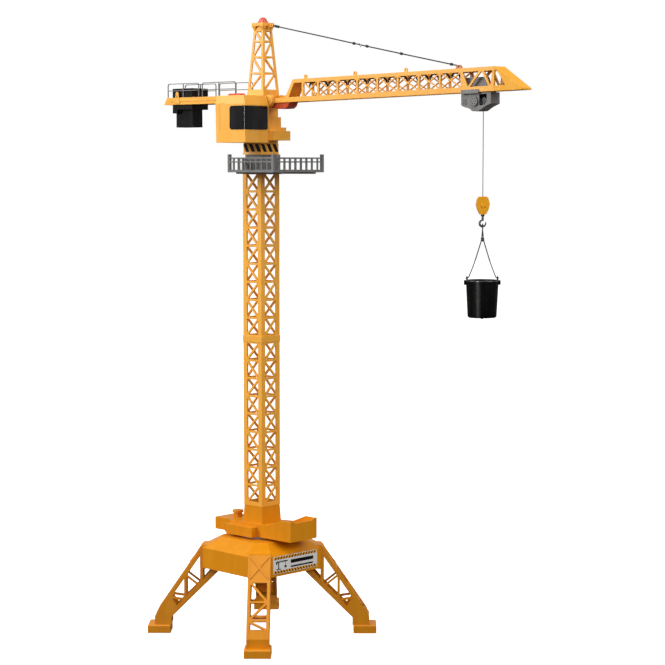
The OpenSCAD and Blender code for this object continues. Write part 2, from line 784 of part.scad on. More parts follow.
// Two faces are set back a little, so that each corner belongs to one wall
module mast() color(YELLOW) intersection() {
    setback = 0.2;
    translate([mast_x, 0, mast_z]) for (i = [0:3]) rotate([0, 0, 90 * i])
        translate([0, (i % 2 == 0 ? setback : 0) - mast_w / 2, 0]) rotate([90 - mast_lean, 0, 0])
            translate([0, 0, -wall]) linear_extrude(height = wall)
                mirror([i > 1 ? 1 : 0, 0]) mast_face(i % 2 == 0 ? 0.6 : 0);
    block([-50, -50, mast_z], [50, 50, mast_top_z]);
}

// Flared cap with an arched recess in each face, and the lug that holds the stay line
module mast_cap() color(YELLOW) {
    flare_z = mast_top_z + 9;
    translate([mast_x, 0, 0]) difference() {
        intersection_for (a = [0, 90]) rotate([0, 0, a]) xz_slab(-30, 30)
            polygon([[-12.6, mast_top_z], [12.6, mast_top_z], [13, mast_top_z + 3], [15.4, flare_z],
                [15.4, cap_top_z], [-15.4, cap_top_z], [-15.4, flare_z], [-13, mast_top_z + 3]]);
        block([-9.5, -9.5, mast_top_z - 1], [9.5, 9.5, cap_top_z - 4]);
        for (a = [0:90:270]) rotate([0, 0, a]) xz_slab(-30, -11.2) {
            polygon(box_outline(-7.5, 7.5, mast_top_z - 1, mast_top_z + 3));
            translate([0, mast_top_z + 3]) intersection() {
                circle(r = 7.5);
                polygon(box_outline(-8, 8, -1, 6));
            }
        }
    }
    difference() {
        xz_slab(-2, 2) polygon([[mast_x + 15, 1179], [30, 1179.6], [34.5, 1181], [34.5, 1186],
            [mast_x + 15, 1187.5]]);
        translate(stay_route[0]) y_rod(1.3, -5, 5);
    }
}

module beacon() color(RED) translate([mast_x, 0, cap_top_z]) {
    base_h = 3;
    cylinder(r = 10, h = base_h);
    rotate_extrude() polygon(concat([[0, base_h], [8, base_h]],
        [for (a = [15:15:90]) [8 * cos(a), base_h + (beacon_top_z - cap_top_z - base_h) * sin(a)]]));
}

// ---------- Counter-jib ----------

module counter_deck() color(YELLOW) {
    half = deck_w / 2;
    back = -counter_l;
    difference() {
        xz_slab(-half, half) polygon([[back - 9, deck_bottom_z], [-core_half - 0.5, deck_bottom_z],
            [-core_half - 0.5, deck_top_z], [back, deck_top_z]]);
        block([back + 6, 3 - half, deck_bottom_z - 1], [cab_x - 3, half - 3, deck_top_z - 3]);
        block([weight_x[0], -weight_half, deck_bottom_z - 1], [weight_x[1], weight_half, deck_top_z + 1]);
        for (s = [-1, 1]) block([cab_x - 0.4, s > 0 ? core_half - 0.3 : -half - 1, deck_bottom_z - 1],
            [0, s > 0 ? half + 1 : 0.3 - core_half, deck_top_z + 1]);
        for (s = [-1, 1]) block([back + 12, s > 0 ? half - 0.8 : -half - 1, deck_bottom_z + 4],
            [-core_half - 6, s > 0 ? half + 1 : 0.8 - half, deck_bottom_z + 6]);
    }
    for (x = [-150:25:-50]) block([x - 1, 3 - half, deck_bottom_z + 2], [x + 1, half - 3, deck_top_z - 3]);
}

// Railing hoop with rounded upper corners, from x0 to x1
module hoop(x0, x1) {
    h = rail_h;
    r = 5;
    bar = 1.5;
    difference() {
        union() {
            polygon(box_outline(x0, x1, 0, h - r));
            polygon(box_outline(x0 + r, x1 - r, h - r - 1, h));
            for (x = [x0 + r, x1 - r]) translate([x, h - r]) circle(r = r);
        }
        difference() {
            union() {
                polygon(box_outline(x0 + bar, x1 - bar, -1, h - r));
                polygon(box_outline(x0 + r, x1 - r, h - r - 1, h - bar));
                for (x = [x0 + r, x1 - r]) translate([x, h - r]) circle(r = r - bar);
            }
            polygon(box_outline(x0, x1, h * 0.46, h * 0.46 + bar));
            polygon(box_outline((x0 + x1) / 2 - 0.8, (x0 + x1) / 2 + 0.8, -1, h));
        }
    }
}

hoop_ends = [[-244, -149], [-140, -45]];

module counter_railing() color(GRAY) for (s = [-1, 1]) {
    y = s * (deck_w / 2 - 1.5);
    for (e = hoop_ends) translate([0, 0, deck_top_z]) xz_slab(y - 0.8, y + 0.8) intersection() {
        hoop(max(e[0], -counter_l + 1), e[1]);
        polygon(box_outline(-300, 0, 0, 60));
    }
}

// Wide block through the deck, with a narrower grooved block under it; hollow from below
module counterweight() color(BLACK) {
    x0 = weight_x[0];
    x1 = weight_x[1];
    low = weight_z[0];
    half = weight_half - 8;
    difference() {
        union() {
            block([x0, -weight_half, deck_bottom_z - 10], [x1, weight_half, weight_z[1]]);
            block([x0, -weight_half, deck_bottom_z - 17], [x0 + 14, weight_half, deck_bottom_z]);
            block([x0 + 2, -half, low], [x1 - 8, half, deck_bottom_z]);
        }
        for (x = [x0 + 7.5, x0 + 19.5]) for (s = [-1, 1])
            block([x - 1, s * half - 0.8, low + 4], [x + 1, s * half + 0.8, deck_bottom_z - 18]);
        block([x0 + 14, -9, low - 1], [x1 - 18, 9, weight_z[1] - 7]);
    }
}

// Lug shaped like a letter A on each side of the deck, beside the counterweight
module weight_lug() color(YELLOW) for (s = [-1, 1]) {
    y0 = s > 0 ? deck_w / 2 : -deck_w / 2 - 1.6;
    translate([-210, 0, deck_top_z]) difference() {
        xz_slab(y0, y0 + 1.6) polygon([[-7, -12], [7, -12], [3.5, 9], [0, 12], [-3.5, 9]]);
        xz_slab(y0 - 1, y0 + 3) polygon([[-2, 0], [2, 0], [0, 6]]);
    }
}

// ---------- Jib ----------

jib_half = jib_w / 2;
bay_end = bay_x + bay_count * jib_bay;
post_half = 2.2;
lattice_low = chord_h + 0.4;
lattice_high = jib_h - top_chord_h;

// Openings of the near and far side walls
side_openings = concat(
    [[[root_x[0] + 9, lattice_low], [first_post, lattice_low], [first_post, lattice_high],
        [root_x[1] + 3, lattice_high]]],
    cross_openings(first_post + 5, bay_x - post_half, lattice_low, lattice_high, 1.6),
    [for (i = [0:bay_count - 1])
        for (o = cross_openings(bay_x + i * jib_bay + post_half, bay_x + (i + 1) * jib_bay - post_half,
            lattice_low, lattice_high, 1.8)) o],
    [[[bay_end + 3, lattice_high], [bay_end + 38, lattice_high], [bay_end + 13.5, lattice_low]],
     [[bay_end + 18, lattice_low], [bay_end + 59.5, lattice_low], [bay_end + 44.5, lattice_high]],
     [[bay_end + 50, lattice_high], [bay_end + 68.5, lattice_high], [bay_end + 63.5, lattice_low]]]);

module jib_side() pierced([[36, 0], [nose_x, 0], [nose_x, jib_h], [root_x[1], jib_h], [root_x[0], chord_h],
    [36, chord_h]], side_openings);

// Zigzag openings of the top plate
top_openings = [for (i = [0:bay_count * 2 + 1])
    let (x0 = first_post + 8 + i * (bay_end - first_post - 12) / (bay_count * 2 + 2),
        x1 = x0 + (bay_end - first_post - 12) / (bay_count * 2 + 2), w = jib_half - 3.5, d = 2)
    for (o = bay_openings(x0 + 0.6, x1 - 0.6, -w, w, i % 2 == 0, d)) o];

module jib_truss() color(YELLOW) on_jib() {
    difference() {
        union() {
            for (s = [-1, 1]) {
                outer = s > 0 ? jib_half - side_t : -jib_half;
                xz_slab(outer, outer + side_t) jib_side();
                inner = s > 0 ? jib_half - side_t - flange_w : side_t - jib_half;
                block([first_post - 4, inner, 0], [nose_x, inner + flange_w, flange_t]);
            }
            translate([0, 0, jib_h - 3]) linear_extrude(height = 3)
                pierced(box_outline(root_x[1], nose_x, -jib_half, jib_half), top_openings);
            // Solid pads under the eyelets and the stay lug
            for (x = eyelet_x) block([x - 4, -jib_half, jib_h - 3], [x + 4, jib_half, jib_h]);
            block([stay_x - 9, -jib_half, jib_h - 3], [stay_x + 10, jib_half, jib_h]);
            // Sloping root plate and its floor
            xz_slab(-jib_half, jib_half) polygon([[root_x[0], chord_h - 1], [root_x[0] + 4, chord_h - 1],
                [root_x[1] + 4, jib_h], [root_x[1], jib_h]]);
            block([58, -jib_half, 3], [first_post - 4, jib_half, 6]);
        }
        translate([root_pin[0], 0, root_pin[1]]) y_rod(2.6, -30, 30);
    }
}

module jib_nose() color(ORANGE) on_jib() {
    tip = [[jib_reach, 0], [jib_reach, 3], [nose_x + 2, jib_h], [nose_x, jib_h]];
    slot = [[nose_x + 1.5, lattice_low], [nose_x + 25, lattice_low], [nose_x + 7, lattice_high],
        [nose_x + 2.5, lattice_high]];
    for (s = [-1, 1]) {
        outer = s > 0 ? jib_half - side_t : -jib_half;
        xz_slab(outer, outer + side_t) pierced(concat([[nose_x, 0]], tip), [slot]);
    }
    xz_slab(-jib_half, jib_half) polygon(concat([[jib_reach - 4, 0]], tip, [[nose_x, jib_h - 3]]));
    block([nose_x + 22, -jib_half, 0], [jib_reach, jib_half, 2.5]);
}

module jib_eyelets() color(YELLOW) on_jib() for (x = eyelet_x) translate([x, 0, jib_h]) difference() {
    xz_slab(-1.5, 1.5) union() {
        polygon(box_outline(-3.5, 3.5, 0, 5));
        translate([0, 5]) circle(r = 3.5);
    }
    translate([0, 0, 5]) y_rod(1.8, -5, 5);
}

module stay_lug() color(ORANGE) on_jib() translate([stay_x, 0, jib_h]) difference() {
    xz_slab(-2, 2) polygon([[-8, 0], [8, 0], [6, 3], [3, 7], [-3, 7], [-6, 3]]);
    translate([0, 0, 4.6]) y_rod(1.4, -5, 5);
}

module stay_line() color(GRAY) tube(smooth(stay_route, 5), stay_d / 2, [0, 1, 0]);

module stay_ring() color(GRAY) translate([258, 0, 1137.4]) rotate([90, 0, 0])
    rotate_extrude() translate([3.4, 0]) circle(r = 0.9, $fn = 24);

// ---------- Trolley ----------

// Outline of the trolley's case shrunk by inset, along the jib and up
function trolley_outline(inset) =
    let (i = inset, x0 = trolley_x[0], x1 = trolley_x[1], low = trolley_bottom + i, high = trolley_top - i)
    [[x0 + i, high], [x0 + i, i * 0.6 - 22], [x0 + 8 + i / 2, i - 25.5], [x0 + 18 + i / 2, i - 28],
        [x0 + 25 + i / 2, low], [x1 - 27 - i / 2, low], [x1 - 14 - i / 2, i - 26],
        [x1 - i, i * 0.7 - 21], [x1 - i, high]];

module trolley_body() color(GRAY) on_jib() {
    wall_t = 2;
    lip = [trolley_x[0] + 4, trolley_x[0] + 42];
    lip_half = jib_half + 0.8;
    difference() {
        union() {
            xz_slab(-trolley_half, trolley_half) polygon(trolley_outline(0));
            block([lip[0], -lip_half - 1.6, trolley_top - 1.2], [lip[1], lip_half + 1.6, trolley_top]);
            for (y0 = [-lip_half - 1.6, lip_half])
                block([lip[0], y0, trolley_top - 1.2], [lip[1], y0 + 1.6, 4.5]);
        }
        xz_slab(wall_t - trolley_half, trolley_half - wall_t) polygon(trolley_outline(wall_t));
        translate([drum_x, 0, drum_h]) y_rod(2.5 + fit, -30, 30);
        xz_slab(-trolley_half - 1, wall_t + 0.5 - trolley_half) polygon([[drum_x + 10.5, -4],
            [trolley_x[1] - 9, -4], [trolley_x[1] - 9, -18], [trolley_x[1] - 14, -22.5],
            [drum_x + 10.5, -24]]);
        block([line_x - 3.5, -3, trolley_bottom - 1], [line_x + 3.5, 3, trolley_bottom + 3]);
    }
}

module trolley_frame() color(GRAY) on_jib() difference() {
    for (s = [-1, 1]) {
        y0 = s > 0 ? 4 : -6.5;
        xz_slab(y0, y0 + 2.5) polygon([[trolley_x[0] + 3, trolley_top], [trolley_x[1] - 3, trolley_top],
            [trolley_x[1] - 3, 10], [trolley_x[1] - 14, 15], [trolley_x[1] - 18, 26],
            [trolley_x[0] + 6, 26], [trolley_x[0] + 3, 22]]);
    }
    for (x = wheel_x) translate([x, 0, wheel_h]) y_rod(1.5 + fit, -10, 10);
}

module wheel_set(x) color(BLACK) on_jib() translate([x, 0, wheel_h]) {
    y_rod(1.5, -11, 11);
    for (s = [-1, 1]) difference() {
        y_rod(wheel_r, s > 0 ? 8.3 : -11.3, s > 0 ? 11.3 : -8.3);
        y_rod(2.6, s > 0 ? 10.9 : -12, s > 0 ? 12 : -10.9);
    }
}

module wheels_front() wheel_set(wheel_x[1]);
module wheels_rear() wheel_set(wheel_x[0]);

module hoist_motor() color(GRAY) on_jib() translate([motor_x, 0, drum_h]) difference() {
    y_rod(6.5, -8, 5.5);
    y_rod(1 + fit, -2, 7);
}

module hoist_pinion() color(GRAY) on_jib() translate([motor_x, 0, drum_h]) {
    rotate([90, 0, 0]) translate([0, 0, -9]) linear_extrude(height = 2.6)
        rotate([0, 0, 180]) rotate([0, 0, 180 / motor_teeth]) gear_outline(motor_teeth, hoist_module);
    y_rod(1, 0, 7);
}

module hoist_drum() color(GRAY) on_jib() translate([drum_x, 0, drum_h]) {
    y_rod(2.5, -14.5, 12.5);
    y_rod(drum_r - cord_d / 2 - 0.1, -5, 5);
    y_rod(10.7, -6.5, -5);
    rotate([90, 0, 0]) translate([0, 0, -9]) linear_extrude(height = 2.6)
        gear_outline(drum_teeth, hoist_module);
    y_rod(7, 4.5, 6.5);
    difference() {
        y_rod(8, -15.4, -12.9);
        for (a = [0:60:300]) rotate([0, a, 0]) translate([5, 0, 0]) y_rod(1.2, -16, -14.6);
    }
}

module hoist_line() color(GRAY) translate([line_x, 0, block_z[1]])
    cylinder(r = cord_d / 2, h = drum_z - block_z[1], $fn = 24);

// ---------- Hook and bucket ----------

module hook_block() color(ORANGE) on_load() {
    low = block_z[0];
    high = block_z[1];
    cheek = [[-5.5, low], [5.5, low], [10, low + 9], [11.9, low + 18], [9.5, high - 3], [6.5, high],
        [-6.5, high], [-9.5, high - 3], [-11.9, low + 18], [-10, low + 9]];
    difference() {
        union() {
            for (s = [-1, 1]) xz_slab(s > 0 ? 3.5 : -6, s > 0 ? 6 : -3.5) polygon(cheek);
            xz_slab(-4, 4) polygon([[-8, high - 6], [8, high - 6], [6.5, high], [-6.5, high]]);
            xz_slab(-4, 4) polygon([[-5.5, low], [5.5, low], [7, low + 5], [-7, low + 5]]);
            translate([0, 0, low + 15]) y_rod(3, -7, 7);
        }
        translate([0, 0, low - 1]) cylinder(r = 2 + fit, h = 9);
    }
}

module hook() color(GRAY) on_load() {
    bend = hook_z;
    translate([0, 0, bend]) rotate([90, 0, 0]) rotate([0, 0, 85]) rotate_extrude(angle = 300)
        translate([hook_r, 0]) circle(r = hook_wire, $fn = 24);
    translate([0, 0, bend + hook_r - 1.2]) cylinder(r = 2, h = block_z[0] + 7.5 - bend - hook_r + 1.2);
    translate([0, 0, block_z[0] + 5.3]) cylinder(r = 2.9, h = 2.4);
    translate([0, 0, block_z[0] - 3.3]) cylinder(r = 3.4, h = 3);
}

module sling() color(GRAY) on_load() {
    far_half = [for (i = [len(sling_half) - 1:-1:0])
        [-sling_half[i][0], -sling_half[i][1], sling_half[i][2]]];
    tube(smooth(concat(sling_half, [[0, 0, 814]], far_half), 4), sling_d / 2, [1, -1, 0]);
}

// Tapered bucket with a thin rim, a round boss at each end of its swing axis and an ear above each boss
module bucket() color(BLACK) on_load() {
    top = rim_z;
    rim_low = rim_z - 4.5;
    rim_w = 3.2;
    body_r = bucket_r - 0.8;
    boss_r = 4.2;
    difference() {
        union() {
            rotate_extrude($fn = 96) polygon([[0, bucket_z], [bucket_bottom_r - 1.5, bucket_z],
                [bucket_bottom_r, bucket_z + 1.5], [body_r, rim_low], [bucket_r, rim_low],
                [bucket_r, top], [bucket_r - rim_w, top], [bucket_bottom_r - 2, bucket_z + 2],
                [0, bucket_z + 2]]);
            for (i = [0:15]) rotate([0, 0, 22.5 * i + 11.25]) xz_slab(-0.9, 0.9)
                polygon([[bucket_bottom_r - 1, bucket_z + 2], [bucket_bottom_r + 0.5, bucket_z + 2],
                    [body_r + 0.4, rim_low + 0.5], [body_r - 1, rim_low + 0.5]]);
            translate([0, 0, bucket_z - 3]) cylinder(r1 = 1.6, r2 = 2.6, h = 4);
            for (s = [-1, 1]) {
                translate([s * (bucket_r + 0.4), 0, top - boss_r - 0.2]) rotate([0, 90, 0])
                    cylinder(r = boss_r, h = 5.2, center = true);
                yz_slab(s * ear_half - 1, s * ear_half + 1) union() {
                    polygon(box_outline(-3.4, 3.4, top - 1, ear_z));
                    translate([0, ear_z]) circle(r = 3.4);
                }
            }
        }
        translate([0, 0, ear_z]) rotate([0, 90, 0]) cylinder(r = 1.3, h = 80, center = true, $fn = 24);
    }
}

// ---------- Drawing ----------

base_body();
base_floor();
base_screws();
sign_plate();
leg_front();
leg_right();
leg_back();
leg_left();
foot_pad_front();
foot_pad_right();
foot_pad_back();
foot_pad_left();
slew_ring_gear();
slew_post();
slew_retainer();
hub_housing();
hub_floor();
hub_screws();
deck_knob();
slew_motor();
slew_pinion();
tower_lower();
tower_upper();
gallery_floor();
gallery_railing();
bearing_block();
hazard_collar();
collar_stripes();
machine_house();
front_steps();
cab_body();
cab_window();
roof_lamp();
jib_bracket();
root_clip();
mast();
mast_cap();
beacon();
counter_deck();
counter_railing();
counterweight();
weight_lug();
jib_truss();
jib_nose();
jib_eyelets();
stay_lug();
stay_line();
stay_ring();
trolley_body();
trolley_frame();
wheels_front();
wheels_rear();
hoist_motor();
hoist_pinion();
hoist_drum();
hoist_line();
hook_block();
hook();
sling();
bucket();
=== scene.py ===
"""Looks of the toy tower crane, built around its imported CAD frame. Metres, +Z up, +X along the jib."""

import json
import math

import bmesh
import bpy
from mathutils import Matrix, Vector


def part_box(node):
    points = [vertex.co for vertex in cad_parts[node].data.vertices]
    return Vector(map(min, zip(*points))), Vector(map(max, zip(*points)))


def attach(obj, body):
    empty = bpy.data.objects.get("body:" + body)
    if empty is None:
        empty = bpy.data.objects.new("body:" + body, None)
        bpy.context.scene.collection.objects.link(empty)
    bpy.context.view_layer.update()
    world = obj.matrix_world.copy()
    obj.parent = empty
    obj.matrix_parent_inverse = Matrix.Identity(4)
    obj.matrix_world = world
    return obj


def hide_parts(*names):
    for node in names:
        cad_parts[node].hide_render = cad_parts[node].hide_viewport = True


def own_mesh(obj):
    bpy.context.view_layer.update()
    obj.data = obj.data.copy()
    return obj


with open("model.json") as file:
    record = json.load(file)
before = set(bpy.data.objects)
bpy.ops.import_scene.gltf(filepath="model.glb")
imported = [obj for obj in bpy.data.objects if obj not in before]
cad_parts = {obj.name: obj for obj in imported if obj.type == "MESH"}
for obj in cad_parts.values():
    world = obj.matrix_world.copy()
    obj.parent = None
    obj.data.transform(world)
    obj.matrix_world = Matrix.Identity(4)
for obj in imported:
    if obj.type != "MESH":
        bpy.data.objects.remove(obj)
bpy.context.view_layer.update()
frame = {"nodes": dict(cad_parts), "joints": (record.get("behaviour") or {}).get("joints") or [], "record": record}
NODE = frame["nodes"]
JOINT = {j["name"]: j for j in frame["joints"]}
MM = 0.001
LOAD_AXIS = JOINT["hook_swivel"]["pos_m"]  # on the hoist line, about which the load turns
LOAD_TURN = math.radians(45)               # the hanging load faces the camera
JIB_FOOT = 1034.3 * MM                     # height of the jib's underside at the slewing axis
JIB_TILT = math.radians(0.98)              # the jib rises this much towards its nose
JIB_FORWARD = Vector((math.cos(JIB_TILT), 0, math.sin(JIB_TILT))) * MM
JIB_UPWARD = Vector((-math.sin(JIB_TILT), 0, math.cos(JIB_TILT))) * MM


# ---------- Mesh helpers ----------

def smooth(points, steps):
    """Catmull-Rom curve through given points, as in the CAD source."""
    last = len(points) - 1
    out = []
    for i in range(last):
        a, b, c, d = points[max(i - 1, 0)], points[i], points[i + 1], points[min(i + 2, last)]
        for k in range(steps):
            t = k / steps
            out.append(0.5 * (2 * b + (c - a) * t + (2 * a - 5 * b + 4 * c - d) * t * t
                              + (3 * b - a - 3 * c + d) * t * t * t))
    return out + [points[last]]


def evenly(points, spacing):
    """The same polyline with points at an even spacing."""
    lengths = [0.0]
    for a, b in zip(points, points[1:]):
        lengths.append(lengths[-1] + (b - a).length)
    count = max(2, round(lengths[-1] / spacing))
    out, k = [], 0
    for i in range(count + 1):
        at = lengths[-1] * i / count
        while k < len(points) - 2 and lengths[k + 1] < at:
            k += 1
        span = lengths[k + 1] - lengths[k]
        out.append(points[k].lerp(points[k + 1], (at - lengths[k]) / span))
    return out


def frames_along(path):
    """A side and an up vector at each point of a path, carried along without twist."""
    side = None
    out = []
    for i, p in enumerate(path):
        along = (path[min(i + 1, len(path) - 1)] - path[max(i - 1, 0)]).normalized()
        if side is None:
            side = Vector((0, 1, 0)) if abs(along.y) < 0.8 else Vector((1, 0, 0))
        side = (side - along * side.dot(along)).normalized()
        out.append((side.copy(), along.cross(side)))
    return out


def add_tube(bm, path, radius, sides):
    """Closed tube along a path. radius is one number or a function of the share of the way along."""
    rings = []
    for i, (p, (side, up)) in enumerate(zip(path, frames_along(path))):
        r = radius(i / (len(path) - 1)) if callable(radius) else radius
        rings.append([bm.verts.new(p + (side * math.cos(2 * math.pi * k / sides)
                                        + up * math.sin(2 * math.pi * k / sides)) * r)
                      for k in range(sides)])
    for a, b in zip(rings, rings[1:]):
        for k in range(sides):
            bm.faces.new((a[k], a[(k + 1) % sides], b[(k + 1) % sides], b[k]))
    bm.faces.new(rings[0][::-1])
    bm.faces.new(rings[-1])


def add_lathe(bm, profile, segments, place):
    """Profile of (radius, height) pairs turned about the local Z axis. It starts and ends on the axis."""
    rings = []
    for r, z in profile:
        if r < 1e-9:
            rings.append([bm.verts.new(place @ Vector((0, 0, z)))])
        else:
            rings.append([bm.verts.new(place @ Vector((r * math.cos(2 * math.pi * k / segments),
                                                       r * math.sin(2 * math.pi * k / segments), z)))
                          for k in range(segments)])
    for a, b in zip(rings, rings[1:]):
        for k in range(segments):
            m = (k + 1) % segments
            if len(a) == 1 and len(b) == 1:
                continue
            if len(a) == 1:
                bm.faces.new((a[0], b[m], b[k]))
            elif len(b) == 1:
                bm.faces.new((a[k], a[m], b[0]))
            else:
                bm.faces.new((a[k], a[m], b[m], b[k]))


def add_prism(bm, outline, low, high, place):
    """Outline of (x, y) pairs, extruded from height low to high in the local frame."""
    bottom = [bm.verts.new(place @ Vector((x, y, low))) for x, y in outline]
    top = [bm.verts.new(place @ Vector((x, y, high))) for x, y in outline]
    bm.faces.new(bottom[::-1])
    bm.faces.new(top)
    for k in range(len(outline)):
        m = (k + 1) % len(outline)
        bm.faces.new((bottom[k], bottom[m], top[m], top[k]))


def rounded(x0, x1, y0, y1, r, steps=5):
    """Rectangle outline with round corners, anticlockwise."""
    out = []
    corners = ((x1 - r, y0 + r, -90), (x1 - r, y1 - r, 0), (x0 + r, y1 - r, 90), (x0 + r, y0 + r, 180))
    for cx, cy, start in corners:
        for k in range(steps + 1):
            a = math.radians(start + 90 * k / steps)
            out.append((cx + r * math.cos(a), cy + r * math.sin(a)))
    return out


def bevel(bm, width, above):
    """Rounds the edges that turn by more than an angle in degrees."""
    edges = [e for e in bm.edges if e.calc_face_angle(0) > math.radians(above)]
    bmesh.ops.bevel(bm, geom=edges, offset=width, offset_type="OFFSET", segments=2, profile=0.5,
                    affect="EDGES", clamp_overlap=False)


def across(local_x, local_y, local_z, origin):
    """Places a local frame whose axes point along these directions."""
    m = Matrix.Identity(4)
    for k, v in enumerate((local_x, local_y, local_z, origin)):
        for row in range(3):
            m[row][k] = v[row]
    return m


def piece(name, bm, body, material, sharp):
    """Object made from a bmesh, which rides on a body. Edges over the angle sharp, in degrees, stay hard."""
    bmesh.ops.recalc_face_normals(bm, faces=bm.faces)
    mesh = bpy.data.meshes.new(name)
    bm.to_mesh(mesh)
    bm.free()
    mesh.shade_smooth()
    mesh.set_sharp_from_angle(angle=math.radians(sharp))
    obj = bpy.data.objects.new(name, mesh)
    bpy.context.scene.collection.objects.link(obj)
    mesh.materials.append(material)
    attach(obj, body)
    return obj


# ---------- Materials ----------

MATERIAL = {}


def new_material(name):
    """New node material, kept in MATERIAL under its name, with its nodes, links and shader."""
    material = bpy.data.materials.new(name)
    material.use_nodes = True
    MATERIAL[name] = material
    nodes = material.node_tree.nodes
    return nodes, material.node_tree.links, nodes["Principled BSDF"]


def noise(nodes, links, scale, detail, stretch=(1, 1, 1)):
    """Noise in the object's own coordinates, so it stays with the piece."""
    place = nodes.new("ShaderNodeTexCoord")
    spread = nodes.new("ShaderNodeMapping")
    spread.inputs["Scale"].default_value = stretch
    texture = nodes.new("ShaderNodeTexNoise")
    texture.inputs["Scale"].default_value = scale
    texture.inputs["Detail"].default_value = detail
    links.new(place.outputs["Object"], spread.inputs["Vector"])
    links.new(spread.outputs["Vector"], texture.inputs["Vector"])
    return texture.outputs["Fac"]


def ramp(nodes, links, source, low, high, out_low, out_high):
    """Maps a value's range to another."""
    node = nodes.new("ShaderNodeMapRange")
    for key, value in (("From Min", low), ("From Max", high), ("To Min", out_low), ("To Max", out_high)):
        node.inputs[key].default_value = value
    links.new(source, node.inputs["Value"])
    return node.outputs["Result"]


def mix(nodes, links, factor, first, second):
    """Mixes two colours, each a colour or a socket."""
    node = nodes.new("ShaderNodeMix")
    node.data_type = "RGBA"
    links.new(factor, node.inputs["Factor"])
    for key, value in (("A", first), ("B", second)):
        socket = [s for s in node.inputs if s.name == key and s.type == "RGBA"][0]
        if isinstance(value, tuple):
            socket.default_value = (*value, 1)
        else:
            links.new(value, socket)
    return [s for s in node.outputs if s.type == "RGBA"][0]


def edge_mask(nodes, links, radius, gain):
    """1 along sharp edges and 0 on flat faces, with the rounded normal."""
    bevelled = nodes.new("ShaderNodeBevel")
    bevelled.samples = 4
    bevelled.inputs["Radius"].default_value = radius
    flat = nodes.new("ShaderNodeNewGeometry")
    dot = nodes.new("ShaderNodeVectorMath")
    dot.operation = "DOT_PRODUCT"
    links.new(bevelled.outputs["Normal"], dot.inputs[0])
    links.new(flat.outputs["Normal"], dot.inputs[1])
    mask = ramp(nodes, links, dot.outputs["Value"], 1.0, 1.0 - gain, 0.0, 1.0)
    return mask, bevelled.outputs["Normal"]


def add_bump(nodes, links, shader, height, strength, depth, normal=None):
    """Bumps the surface by a height, on top of another normal if there is one."""
    bump = nodes.new("ShaderNodeBump")
    bump.inputs["Strength"].default_value = strength
    bump.inputs["Distance"].default_value = depth
    links.new(height, bump.inputs["Height"])
    if normal:
        links.new(normal, bump.inputs["Normal"])
    links.new(bump.outputs["Normal"], shader.inputs["Normal"])


def plastic(name, base, shade, worn_and_highlight, rough=(0.3, 0.42), grain_depth=0.02 * MM, wear=0.5, specular=0.5,
            edge=0.7 * MM):
    """Moulded plastic: slow colour drift, fine moulded grain, uneven gloss and paler edges, rubbed pale on most
    pieces and a painted highlight on the bucket's rim.
    """
    nodes, links, shader = new_material(name)
    drift = ramp(nodes, links, noise(nodes, links, 9, 4), 0.35, 0.65, 0.0, 1.0)
    flow = ramp(nodes, links, noise(nodes, links, 60, 2, (1, 1, 0.25)), 0.4, 0.7, 0.0, 0.35)
    colour = mix(nodes, links, drift, base, shade)
    colour = mix(nodes, links, flow, colour, tuple(0.5 * (a + b) for a, b in zip(base, worn_and_highlight)))
    mask, normal = edge_mask(nodes, links, edge, 0.35)
    scuff_and_highlight = nodes.new("ShaderNodeMath")
    scuff_and_highlight.operation = "MULTIPLY"
    links.new(mask, scuff_and_highlight.inputs[0])
    links.new(ramp(nodes, links, noise(nodes, links, 140, 3), 0.35, 0.7, 0.1 * wear, wear), scuff_and_highlight.inputs[1])
    # The paler edge colour is edge rubbing, and on the bucket's rim painted highlight.
    links.new(mix(nodes, links, scuff_and_highlight.outputs["Value"], colour, worn_and_highlight), shader.inputs["Base Color"])
    links.new(ramp(nodes, links, noise(nodes, links, 35, 5), 0.3, 0.7, *rough), shader.inputs["Roughness"])
    add_bump(nodes, links, shader, noise(nodes, links, 1100, 2), 0.35, grain_depth, normal)
    shader.inputs["IOR"].default_value = 1.5
    shader.inputs["Specular IOR Level"].default_value = specular


def metal(name, base, dark):
    """Zinc-plated steel with fine brushed streaks."""
    nodes, links, shader = new_material(name)
    streak = noise(nodes, links, 700, 3, (1, 1, 0.05))
    cloud = ramp(nodes, links, noise(nodes, links, 90, 4), 0.35, 0.7, 0.0, 1.0)
    links.new(mix(nodes, links, cloud, base, dark), shader.inputs["Base Color"])
    links.new(ramp(nodes, links, streak, 0.3, 0.7, 0.22, 0.45), shader.inputs["Roughness"])
    shader.inputs["Metallic"].default_value = 1.0
    add_bump(nodes, links, shader, streak, 0.2, 0.02 * MM, edge_mask(nodes, links, 0.3 * MM, 0.3)[1])


def fibre(name, base, dark):
    """Twisted cord: fine fibres across the strands and a soft sheen."""
    nodes, links, shader = new_material(name)
    hair = noise(nodes, links, 2600, 4)
    tone = ramp(nodes, links, noise(nodes, links, 160, 3), 0.3, 0.7, 0.0, 1.0)
    links.new(mix(nodes, links, tone, base, dark), shader.inputs["Base Color"])
    links.new(ramp(nodes, links, hair, 0.3, 0.7, 0.6, 0.9), shader.inputs["Roughness"])
    shader.inputs["Sheen Weight"].default_value = 0.04
    shader.inputs["Specular IOR Level"].default_value = 0.2
    add_bump(nodes, links, shader, hair, 0.6, 0.05 * MM)


